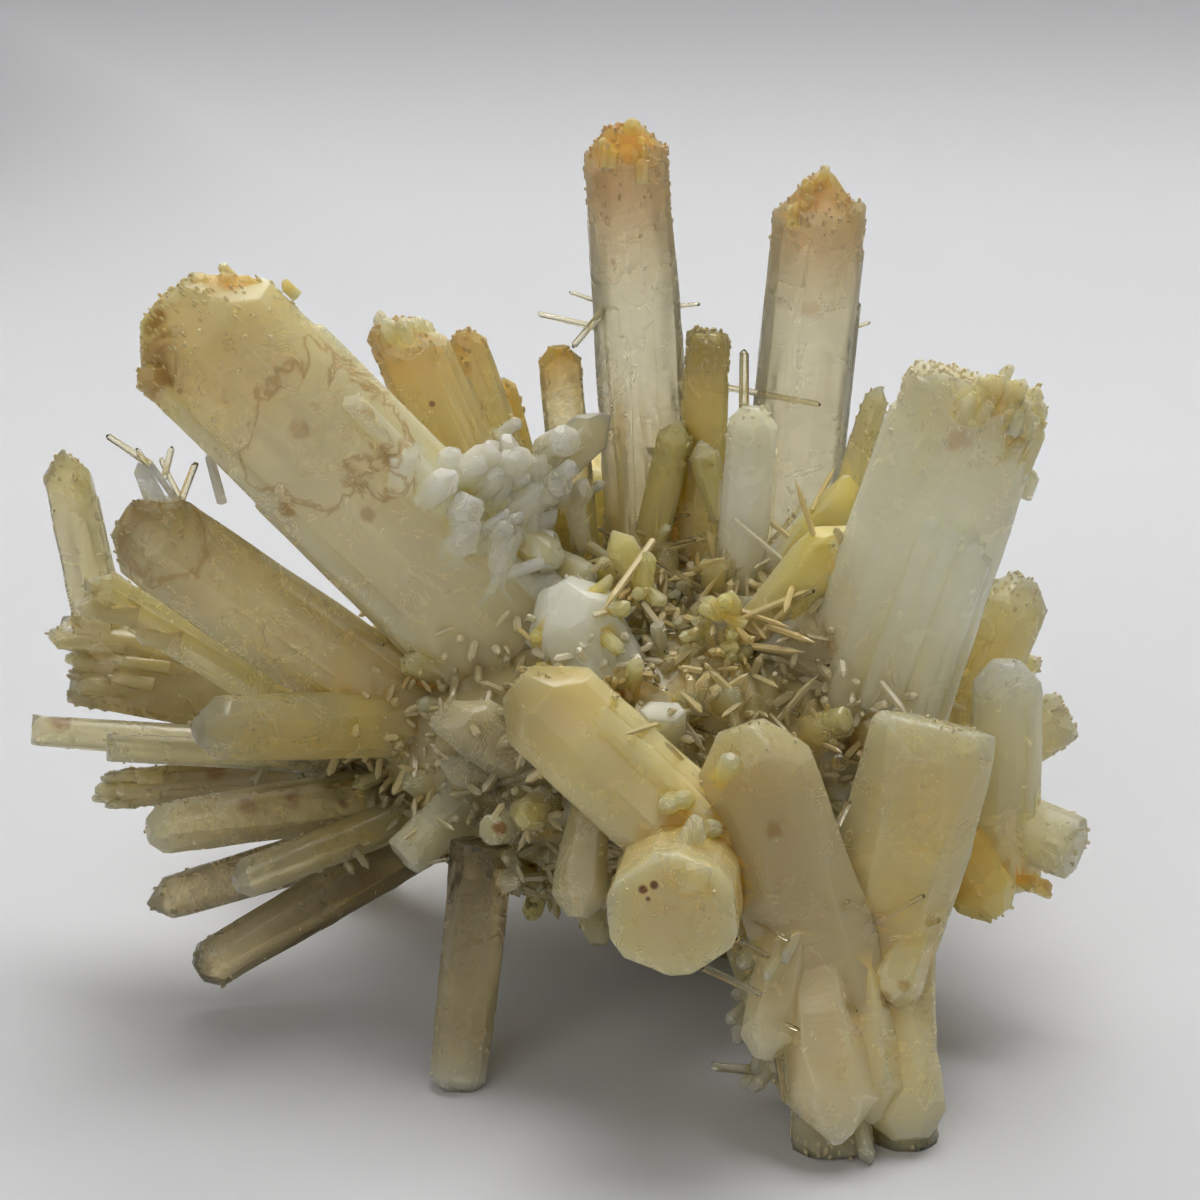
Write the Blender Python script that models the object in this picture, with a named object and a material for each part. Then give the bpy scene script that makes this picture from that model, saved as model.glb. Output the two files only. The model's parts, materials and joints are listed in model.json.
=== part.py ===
# A free-standing group of intergrown quartz crystals, all one natural piece.
# Every crystal is a six-sided prism that rises from a shared core and ends in slanting faces.
# Sizes are in millimetres here and become metres when the meshes are made.
# The front of the group looks along -Y, and it stands on its broken spots at z = 0.

import math
import random

import bmesh
import bpy
from mathutils import Matrix, Vector

MM = 0.001
GROUP = "mango_quartz_cluster"
NODE = "quartz_cluster"

# The core that all crystals grow from
CORE_CENTRE = (3, 5, 24)
CORE_SIZE = (50, 40, 27)
CORE_DETAIL = 2

# Short crystals that crowd all over the core, pointing straight out of it
STUB_COUNT = 56
STUB_WIDTH = (2.4, 4.6)
STUB_RISE = (1.5, 5.5)
STUB_SEED = 11

# The end faces of a quartz crystal slope 52 degrees away from square
END_SLOPE = 52
FRONT = Vector((0, -0.93, 0.37))

# An end is six slanting faces, in the order right back, back, left back, left front, front and
# right front. Each number sets a face back from the tip, in widths, so a larger number makes a
# smaller face. The last one is how much of the tip is broken off square, in widths.
ENDS = {
    "point": ((0, 0.08, 0, 0.1, 0.02, 0.06), 0.04),
    "lean_right": ((0.3, 0.2, 0, 0.02, 0.12, 0.34), 0.05),
    "lean_left": ((0, 0.2, 0.3, 0.34, 0.12, 0.02), 0.05),
    "round": ((0, 0.03, 0.05, 0, 0.04, 0.02), 0.2),
    "blunt": ((0.05, 0, 0.02, 0.06, 0, 0.03), 0.38),
    "chisel": ((0.4, 0, 0.42, 0.38, 0.02, 0.4), 0.05),
}

# Each row is one crystal: where its root sits in the core, its heading round the vertical (0 is
# +X, -90 is to the front), its rise above level, its length and width, its thickness as a share
# of its width, its turn on its own length, its root's width as a share, and its end.
CRYSTALS = {
    # The big crystals on the left
    "broad_left": ((-1, 0, 27), -176, 48, 54, 17.5, 0.5, 0, 1, "round"),
    "second_left": ((-12, -2, 24), -174, 39, 38, 10.5, 0.7, 10, 1, "round"),
    "ledge_left": ((-13, 1, 18), -174, 35, 40, 5, 0.8, 0, 1, "point"),
    "far_left": ((-45.5, 7, 30), 180, 82, 20, 5.4, 0.7, 0, 1.1, "point"),
    "small_left": ((-36, 6, 29), 180, 15, 14, 3.8, 0.9, 20, 1, "blunt"),
    "olive_left": ((-14, 6, 23), 180, 11, 35, 10, 0.6, 0, 1, "chisel"),
    "peg_left": ((-18, 3.5, 21), -177, 6, 34, 3.7, 1, 0, 1, "blunt"),
    "peg_inner": ((-13, 2, 21), -169, 8, 32, 3.3, 1, 0, 1, "blunt"),
    "stout_left": ((-16, -2, 27), -142, 14, 24, 7, 0.95, 0, 1, "round"),
    # The fan that points down to the left
    "fan_back": ((-10, 4, 20), 180, -4, 36, 4.8, 0.8, 0, 1, "chisel"),
    "fan_top": ((-10, 1, 20), -160, 0, 32, 5.8, 0.8, 0, 0.7, "round"),
    "fan_middle": ((-9, -1, 21), -149, -8, 27, 4.3, 0.9, 0, 0.8, "round"),
    "fan_low": ((-12, 3, 16), -171, -14, 31, 5, 0.9, 0, 0.8, "point"),
    "fan_front": ((-10, 1, 18), -163, -26, 31, 5.7, 0.85, 0, 0.8, "round"),
    # The post that hangs down at the front, and the crystals above it
    "post": ((-10.3, -16, 22), -118, -78, 24, 6.4, 0.75, 0, 0.85, "point"),
    "post_root": ((-8, -8, 26), -145, -30, 13, 5, 0.9, 0, 1.2, "blunt"),
    "post_knob": ((-5, -11, 21), -123, 20, 9, 3.2, 0.9, 0, 1, "blunt"),
    # The middle of the front
    "front_broad": ((10, -22, 23), 156, 36, 23, 9.5, 0.6, 0, 1, "round"),
    "front_block": ((5, -8, 25), 154, 58, 19, 9.7, 0.7, 0, 1.1, "round"),
    "front_small": ((5, -12, 26), -84, 66, 9, 5, 0.8, 0, 1.1, "blunt"),
    "front_hex": ((8, -10, 19), -95, 12, 25, 10.8, 1, 0, 1, "blunt"),
    "front_slab": ((20, -26, 11), 141, 66, 26, 9.8, 0.6, 0, 1.1, "round"),
    "front_right": ((24, -22, 14), 47, 71, 21, 10.4, 0.7, 0, 0.9, "blunt"),
    "centre_post": ((11, -6, 23), 104, 83, 17, 4.2, 0.8, 0, 1, "point"),
    # The right side
    "broad_right": ((22.5, -3, 25), 6, 73, 36, 15.5, 0.6, 0, 0.88, "blunt"),
    "right_behind": ((31, 2, 19), 22, 67, 21, 7.5, 0.7, 0, 1, "round"),
    "right_clear": ((36, -9, 14), 95, 82, 21, 7.6, 0.75, 0, 1, "round"),
    "right_peg": ((30, 1, 18), 6, 32, 15, 6.2, 0.8, 0, 1, "blunt"),
    "right_disc": ((24, 1, 22), -33, -9, 22, 7, 0.9, 0, 1, "blunt"),
    "right_low": ((24, -5, 29), -38, -48, 21, 7, 0.8, 0, 1, "round"),
    # The foot at the front, broken off where it stands
    "foot_right": ((26, -17, 20), -90, -61, 25, 6.9, 0.9, 0, 1.1, "blunt"),
    "foot_left": ((19, -19, 19), -86, -59, 23, 8.4, 0.8, 0, 1.2, "blunt"),
    "foot_side": ((12, -19, 16), -62, -50, 16, 4.6, 0.9, 0, 1.4, "point"),
    # The tall crystals and the row between them
    "tall_left": ((5.5, 12, 30), 185, 86, 48.5, 9.6, 0.85, 0, 1, "round"),
    "tall_right": ((16.5, 12, 30), 37, 84, 44, 10.2, 0.8, 0, 1.05, "point"),
    "row_olive": ((9, 8, 34), 75, 85, 26, 5, 0.8, 0, 1, "blunt"),
    "row_leaning": ((3, 6, 34), 17, 77, 19, 3.9, 0.8, 0, 1, "point"),
    "row_pale": ((12, 2, 32), 54, 83, 23, 5.4, 0.8, 0, 1, "round"),
    "row_right": ((18, 3, 31), 34, 71, 26, 3.2, 0.8, 0, 1.4, "point"),
    # The row behind the broad left crystal
    "behind_broad": ((-8, 6, 38), 168, 67, 26, 8.2, 0.8, 0, 1, "lean_left"),
    "behind_second": ((-6, 8, 40), 160, 71, 21, 4.8, 0.8, 0, 1, "round"),
    "behind_thin": ((-4, 9, 36), 157, 75, 20, 2.6, 0.9, 0, 1, "point"),
    "behind_clear": ((-2, 8, 40), 150, 84, 19, 4.8, 0.8, 0, 1, "round"),
    "leaf": ((-8, 0, 47), 20, 38, 12, 5, 0.4, 0, 1, "point"),
    # The stout crystal under the core that broke off level, where the group stands, and its side
    # crystals, which end above the surface
    "base": ((12, 6, 20), 60, -80, 24, 15, 0.9, 10, 1.1, "blunt"),
    "base_left": ((4, 6, 18), 190, -66, 13, 7.5, 0.8, 20, 1.2, "round"),
    "base_right": ((20, 6, 18), -10, -62, 12, 7, 0.8, 0, 1.2, "round"),
    "base_back": ((10, 14, 18), 100, -62, 13, 6.5, 0.8, 0, 1.2, "point"),
    # The back of the group, and the crystals that it leans on there
    "heel_left": ((-12, 12, 18), 142, -44, 27, 6, 0.85, 0, 1.2, "point"),
    "heel_back": ((12, 16, 18), 70, -46, 26, 7, 0.85, 0, 1.2, "point"),
    "back_long": ((2, 14, 26), 98, 22, 30, 9.5, 0.65, 8, 1, "round"),
    "back_left": ((-10, 12, 26), 134, 18, 31, 8.4, 0.7, 15, 1, "point"),
    "back_left_low": ((-10, 10, 20), 152, -10, 30, 6, 0.85, 0, 0.9, "round"),
    "back_right": ((17, 12, 24), 52, 24, 29, 9, 0.7, -12, 1, "point"),
    "back_right_low": ((18, 10, 20), 34, 4, 26, 7, 0.8, 0, 1, "blunt"),
    "back_top": ((8, 14, 32), 84, 47, 21, 7, 0.75, 0, 1, "round"),
    "back_top_left": ((-6, 13, 32), 118, 42, 24, 6.4, 0.8, 20, 1, "point"),
    "back_top_right": ((20, 10, 32), 48, 46, 20, 5.6, 0.8, 0, 1, "blunt"),
    "back_low": ((6, 16, 20), 92, -8, 26, 7.4, 0.8, 30, 1, "round"),
    "back_side": ((24, 6, 24), 14, 12, 18, 6.4, 0.85, 0, 1, "point"),
}


def crystal_frame(heading, rise, turn):
    """Right, back and length directions of a crystal, as a rotation."""
    around = math.radians(heading)
    up = math.radians(rise)
    level = math.cos(up)
    length = Vector((level * math.cos(around), level * math.sin(around), math.sin(up)))
    right = length.cross(FRONT)
    if right.length < 0.3:
        right = Vector((1, 0, 0))
        right -= length * right.dot(length)
    right.normalize()
    frame = Matrix((right, length.cross(right), length)).transposed()
    return frame @ Matrix.Rotation(math.radians(turn), 3, "Z")


def cut(bm, point, normal):
    """Cut everything beyond a plane away and close the cut."""
    everything = bm.verts[:] + bm.edges[:] + bm.faces[:]
    made = bmesh.ops.bisect_plane(
        bm, geom=everything, plane_co=point, plane_no=normal, clear_outer=True
    )
    edges = [e for e in made["geom_cut"] if isinstance(e, bmesh.types.BMEdge)]
    if edges:
        bmesh.ops.contextual_create(bm, geom=edges)


def crystal_mesh(name, seat, heading, rise, length, width, thick, turn, root, end):
    """One closed crystal, in metres, in the group's own frame."""
    bm = bmesh.new()
    bmesh.ops.create_cone(
        bm,
        cap_ends=True,
        segments=6,
        radius1=width / 2 * root,
        radius2=width / 2,
        depth=length,
        matrix=Matrix.Translation((0, 0, length / 2)) @ Matrix.Rotation(math.radians(30), 4, "Z"),
    )
    setbacks, broken = ENDS[end]
    slope = math.radians(END_SLOPE)
    peak = length + broken * width
    for k, setback in enumerate(setbacks):
        around = math.radians(30 + 60 * k)
        normal = Vector(
            (math.sin(slope) * math.cos(around), math.sin(slope) * math.sin(around), math.cos(slope))
        )
        cut(bm, Vector((0, 0, peak + setback * width)), normal)
    bmesh.ops.scale(bm, vec=(1, thick, 1), verts=bm.verts)
    place = Matrix.Translation(seat) @ crystal_frame(heading, rise, turn).to_4x4()
    bmesh.ops.transform(bm, matrix=Matrix.Scale(MM, 4) @ place, verts=bm.verts)
    bmesh.ops.recalc_face_normals(bm, faces=bm.faces)
    bmesh.ops.triangulate(bm, faces=bm.faces)
    mesh = bpy.data.meshes.new(name)
    bm.to_mesh(mesh)
    bm.free()
    return mesh


def core_mesh():
    """The rounded core, in metres."""
    bm = bmesh.new()
    bmesh.ops.create_icosphere(bm, subdivisions=CORE_DETAIL, radius=0.5)
    bmesh.ops.scale(bm, vec=Vector(CORE_SIZE) * MM, verts=bm.verts)
    bmesh.ops.translate(bm, vec=Vector(CORE_CENTRE) * MM, verts=bm.verts)
    mesh = bpy.data.meshes.new(NODE)
    bm.to_mesh(mesh)
    bm.free()
    return mesh


def stub_rows():
    """The short crystals: evenly spread headings, and sizes drawn from a fixed seed."""
    draw = random.Random(STUB_SEED)
    golden = math.pi * (3 - math.sqrt(5))
    rows = {}
    for k in range(STUB_COUNT):
        height = 1 - (2 * k + 1) / STUB_COUNT
        level = math.sqrt(1 - height * height)
        out = Vector((level * math.cos(golden * k), level * math.sin(golden * k), height))
        surface = Vector([c / 2 * d for c, d in zip(CORE_SIZE, out)])
        width = draw.uniform(*STUB_WIDTH)
        stub_rise = draw.uniform(*STUB_RISE)
        heading = math.degrees(math.atan2(out.y, out.x))
        rise = math.degrees(math.asin(height)) + draw.uniform(-18, 18)
        seat = Vector(CORE_CENTRE) + surface * 0.7
        length = surface.length * 0.3 + stub_rise
        end = draw.choice(["point", "round", "lean_left", "lean_right"])
        thick = draw.uniform(0.75, 1)
        rows[f"stub_{k}"] = (seat, heading, rise, length, width, thick, 60 * draw.random(), 1.2, end)
    return rows


def clear_scene():
    for item in list(bpy.data.objects):
        bpy.data.objects.remove(item, do_unlink=True)


def collection(name):
    made = bpy.data.collections.new(name)
    bpy.context.scene.collection.children.link(made)
    return made


def add(mesh, name, where, guide=False):
    item = bpy.data.objects.new(name, mesh)
    where.objects.link(item)
    if guide:
        item.hide_render = True
        item.display_type = "WIRE"
    return item


def quartz_material():
    """Cloudy cream-yellow quartz."""
    material = bpy.data.materials.new("quartz")
    material.use_nodes = True
    shader = material.node_tree.nodes["Principled BSDF"]
    shader.inputs["Base Color"].default_value = (0.58, 0.47, 0.23, 1)
    shader.inputs["Roughness"].default_value = 0.25
    shader.inputs["Metallic"].default_value = 0
    shader.inputs["IOR"].default_value = 1.544
    shader.inputs["Transmission Weight"].default_value = 0.4
    return material


def below_floor_mesh():
    """A block under z = 0 that takes off whatever would reach below the surface."""
    bm = bmesh.new()
    bmesh.ops.create_cube(bm, size=0.2)
    bmesh.ops.translate(bm, vec=(0, 0, -0.1), verts=bm.verts)
    mesh = bpy.data.meshes.new("below_floor")
    bm.to_mesh(mesh)
    bm.free()
    return mesh


def boolean(item, operation, **operand):
    step = item.modifiers.new(operation.lower(), "BOOLEAN")
    step.operation = operation
    step.solver = "EXACT"
    for key, value in operand.items():
        setattr(step, key, value)


def settle(item):
    """Turn the joined shape into a plain mesh, and put its origin under its middle."""
    bpy.context.view_layer.update()
    evaluated = item.evaluated_get(bpy.context.evaluated_depsgraph_get())
    mesh = bpy.data.meshes.new_from_object(evaluated)
    item.modifiers.clear()
    item.data = mesh
    low = [min(v.co[k] for v in mesh.vertices) for k in range(3)]
    high = [max(v.co[k] for v in mesh.vertices) for k in range(3)]
    middle = Vector(((low[0] + high[0]) / 2, (low[1] + high[1]) / 2, low[2]))
    mesh.transform(Matrix.Translation(-middle))
    print("moved by", [round(-c / MM, 2) for c in middle])


def main():
    clear_scene()
    group = collection(GROUP)
    guides = collection("joined_crystals")
    cutters = collection("cutters")
    for name, row in {**CRYSTALS, **stub_rows()}.items():
        add(crystal_mesh(name, *row), name, guides, guide=True)
    floor = add(below_floor_mesh(), "below_floor", cutters, guide=True)
    cluster = add(core_mesh(), NODE, group)
    boolean(cluster, "UNION", operand_type="COLLECTION", collection=guides)
    boolean(cluster, "DIFFERENCE", object=floor)
    settle(cluster)
    cluster.data.materials.clear()
    cluster.data.materials.append(quartz_material())
    for item in list(guides.objects) + list(cutters.objects):
        bpy.data.objects.remove(item, do_unlink=True)


main()
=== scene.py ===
import json
import math
import random

import bmesh
import bpy
import numpy as np
from mathutils import Matrix, Vector, noise
from mathutils.bvhtree import BVHTree

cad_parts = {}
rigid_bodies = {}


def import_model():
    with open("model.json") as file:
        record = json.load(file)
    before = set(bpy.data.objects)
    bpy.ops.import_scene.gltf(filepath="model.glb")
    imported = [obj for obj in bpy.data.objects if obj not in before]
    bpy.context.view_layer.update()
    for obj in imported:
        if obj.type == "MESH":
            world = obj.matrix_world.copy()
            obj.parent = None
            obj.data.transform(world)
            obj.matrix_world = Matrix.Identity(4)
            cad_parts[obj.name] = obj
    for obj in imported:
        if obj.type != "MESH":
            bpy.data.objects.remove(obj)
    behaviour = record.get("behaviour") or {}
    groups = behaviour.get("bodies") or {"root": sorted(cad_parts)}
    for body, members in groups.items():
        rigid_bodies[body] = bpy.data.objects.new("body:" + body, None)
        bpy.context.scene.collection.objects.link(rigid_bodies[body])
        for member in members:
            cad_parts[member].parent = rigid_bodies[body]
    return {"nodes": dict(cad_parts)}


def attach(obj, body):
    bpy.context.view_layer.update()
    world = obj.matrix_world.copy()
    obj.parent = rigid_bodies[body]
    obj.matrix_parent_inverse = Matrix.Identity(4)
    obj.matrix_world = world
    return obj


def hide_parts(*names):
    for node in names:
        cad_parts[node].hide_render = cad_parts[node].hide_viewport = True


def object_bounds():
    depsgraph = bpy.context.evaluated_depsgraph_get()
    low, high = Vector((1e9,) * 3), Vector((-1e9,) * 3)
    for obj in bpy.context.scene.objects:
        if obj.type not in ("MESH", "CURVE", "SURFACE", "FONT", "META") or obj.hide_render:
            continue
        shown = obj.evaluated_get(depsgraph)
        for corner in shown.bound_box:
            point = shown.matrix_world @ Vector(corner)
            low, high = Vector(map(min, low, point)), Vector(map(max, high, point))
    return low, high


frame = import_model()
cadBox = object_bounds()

mm = 0.001
scene = bpy.context.scene
# the crystals' own numbers are in millimetres, and this puts them in the frame of the CAD model
clusterShift = Vector((4.01, -3.42, 0))

# where the photograph was taken from: degrees above level, and millimetres
shot = {"height": 22, "distance": 297, "aimHeight": 38, "lens": 100, "sensor": 36, "photoWidth": 1200}


def shotPlace():
    up = math.radians(shot["height"])
    back = shot["distance"]
    return clusterShift + Vector((0, -back * math.cos(up), shot["aimHeight"] + back * math.sin(up)))


def makeCamera():
    camera = bpy.data.cameras.new("camera")
    camera.lens = shot["lens"]
    camera.sensor_width = shot["sensor"]
    camera.clip_start = 0.01
    item = bpy.data.objects.new("camera", camera)
    scene.collection.objects.link(item)
    item.location = shotPlace() * mm
    item.rotation_euler = (math.radians(90 - shot["height"]), 0, 0)
    scene.camera = item


def photoRay(px, py):
    middle = shot["photoWidth"] / 2
    scale = shot["sensor"] / shot["lens"] / shot["photoWidth"]
    ray = Vector(((px - middle) * scale, (middle - py) * scale, -1))
    return Matrix.Rotation(math.radians(90 - shot["height"]), 3, "X") @ ray


# what a ray from the camera meets first: the place, the surface's own way there, and how many
# lengths of the ray away it is (mm)
def meet(surface, ray):
    spot, normal, _, distance = surface.ray_cast(shotPlace() * mm, ray)
    return spot, normal, distance / mm / ray.length if spot else 0


def treeOf(mesh):
    return BVHTree.FromPolygons([v.co for v in mesh.vertices], [p.vertices for p in mesh.polygons])


def headingRise(way):
    return math.degrees(math.atan2(way.y, way.x)), math.degrees(math.asin(way.z / way.length))


# studio: a pale floor with a low sweep, which the back view looks over, with painted shade up its wall, soft
# lights above, behind and in front, and a faint even fill
studio = {
    "front": -1.5, "back": 0.3, "halfWidth": 1.5, "bend": 0.16, "bendAngle": 62,
    "sweepColour": (0.70, 0.71, 0.735), "paintedShadeColour": (0.33, 0.33, 0.35), "paintedShadeHeights": (0.012, 0.055),
    "fill": 0.15, "fillColour": (1.0, 0.985, 0.955),
}
lamps = {
    # name: place, aim, size (metres), watts, colour
    "overhead": ((0.06, 0.14, 0.58), (0, 0.02, 0), (0.42, 0.36), 2.4, (1.0, 0.99, 0.975)),
    "behind": ((0, 0.42, 0.45), (0, 0, 0.05), (1.2, 0.5), 1.3, (1.0, 0.99, 0.97)),
    "front soft": ((-0.25, -0.55, 0.5), (0, 0, 0.03), (0.5, 0.4), 0.9, (1.0, 0.98, 0.95)),
}


def makeNode(tree, kind, **values):
    made = tree.nodes.new(kind)
    for key, value in values.items():
        setattr(made, key, value)
    return made


def makeSweep():
    bend, angle = studio["bend"], math.radians(studio["bendAngle"])
    outline = [(studio["front"], 0), (studio["back"] - bend, 0)]
    for k in range(1, 17):
        a = angle * k / 16
        outline.append((studio["back"] - bend + bend * math.sin(a), bend - bend * math.cos(a)))
    wide = studio["halfWidth"]
    count = len(outline)
    points = [(x, y, z) for x in (-wide, wide) for y, z in outline]
    faces = [(k, k + count, k + count + 1, k + 1) for k in range(count - 1)]
    mesh = bpy.data.meshes.new("sweep")
    mesh.from_pydata(points, [], faces)
    mesh.shade_smooth()
    paint = bpy.data.materials.new("pale sweep")
    paint.use_nodes = True
    shader = paint.node_tree.nodes["Principled BSDF"]
    shader.inputs["Roughness"].default_value = 0.9
    tree = paint.node_tree      # darker up the wall, and to the left of it
    # painted shade: the wall and its left side are made darker where the lamps light them less
    spot = makeNode(tree, "ShaderNodeSeparateXYZ")
    tree.links.new(makeNode(tree, "ShaderNodeTexCoord").outputs["Object"], spot.inputs[0])
    high = rampNode(tree, spot.outputs["Z"], *studio["paintedShadeHeights"])
    leftward = times(tree, rampNode(tree, spot.outputs["X"], -0.02, -0.13), 0.9)
    leftward = times(tree, leftward, rampNode(tree, spot.outputs["Z"], 0.0, 0.03))
    shade = larger(tree, high, leftward)
    colour = colourMix(tree, shade, studio["sweepColour"], studio["paintedShadeColour"])
    tree.links.new(colour, shader.inputs["Base Color"])
    mesh.materials.append(paint)
    item = bpy.data.objects.new("sweep", mesh)
    scene.collection.objects.link(item)


def makeLights():
    world = bpy.data.worlds.new("studio")
    world.use_nodes = True
    fill = world.node_tree.nodes["Background"]
    fill.inputs["Color"].default_value = (*studio["fillColour"], 1)
    fill.inputs["Strength"].default_value = studio["fill"]
    scene.world = world
    for name, (place, aim, size, watts, colour) in lamps.items():
        lamp = bpy.data.lights.new(name, "AREA")
        lamp.shape = "RECTANGLE"
        lamp.size, lamp.size_y = size
        lamp.energy = watts
        lamp.color = colour
        item = bpy.data.objects.new(name, lamp)
        scene.collection.objects.link(item)
        item.location = place
        item.rotation_euler = (Vector(aim) - Vector(place)).to_track_quat("-Z", "Y").to_euler()


def setRender():
    scene.view_settings.view_transform = "Standard"
    scene.world.cycles.sampling_method = "NONE"
    cycles = scene.cycles
    cycles.max_bounces = 5
    cycles.diffuse_bounces = 2
    cycles.glossy_bounces = 2
    cycles.transmission_bounces = 5
    cycles.caustics_reflective = False
    cycles.blur_glossy = 1.0
    cycles.adaptive_threshold = 0.13
    cycles.adaptive_min_samples = 8
    cycles.use_denoising = True


# the stone's colours, from clear to iron-stained, and one dark brown that is painted shade over the stone's
# own brown
palette = {
    "ice": (0.96, 0.91, 0.70),
    "milk": (0.95, 0.83, 0.50),
    "cream": (0.93, 0.76, 0.34),
    "straw": (0.91, 0.69, 0.20),
    "mango": (0.86, 0.47, 0.06),
    "amber": (0.86, 0.56, 0.10),
    "olive": (0.52, 0.42, 0.15),
    # painted shade: a dark brown for roots and for crystals that lie in shadow
    "umber": (0.28, 0.20, 0.06),
    "smoke": (0.70, 0.58, 0.30),
}

# the end faces of a quartz crystal slope 52 degrees away from square
endSlope = 52
frontWay = Vector((0, -0.93, 0.37))
core = {"centre": Vector((3, 5, 24)), "size": Vector((50, 40, 27))}
stubs = {"count": 56, "width": (2.4, 4.6), "rise": (1.5, 5.5), "seed": 11}
# more small crystals that crowd between the stubs; those on top of the core are longer
fillers = {"count": 104, "width": (1.6, 3.6), "rise": (1, 5), "topRise": 2, "seed": 23}

# six slanting faces from the right back round to the right front, each set back from the tip in
# widths, and how much of the tip is broken off square
ends = {
    "point": ((0, 0.08, 0, 0.1, 0.02, 0.06), 0.04),
    "leanRight": ((0.3, 0.2, 0, 0.02, 0.12, 0.34), 0.05),
    "leanLeft": ((0, 0.2, 0.3, 0.34, 0.12, 0.02), 0.05),
    "round": ((0, 0.03, 0.05, 0, 0.04, 0.02), 0.2),
    "blunt": ((0.05, 0, 0.02, 0.06, 0, 0.03), 0.38),
    "flat": ((0.03, 0, 0.02, 0.05, 0, 0.02), 0.52),
    "chisel": ((0.4, 0, 0.42, 0.38, 0.02, 0.4), 0.05),
}

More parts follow.
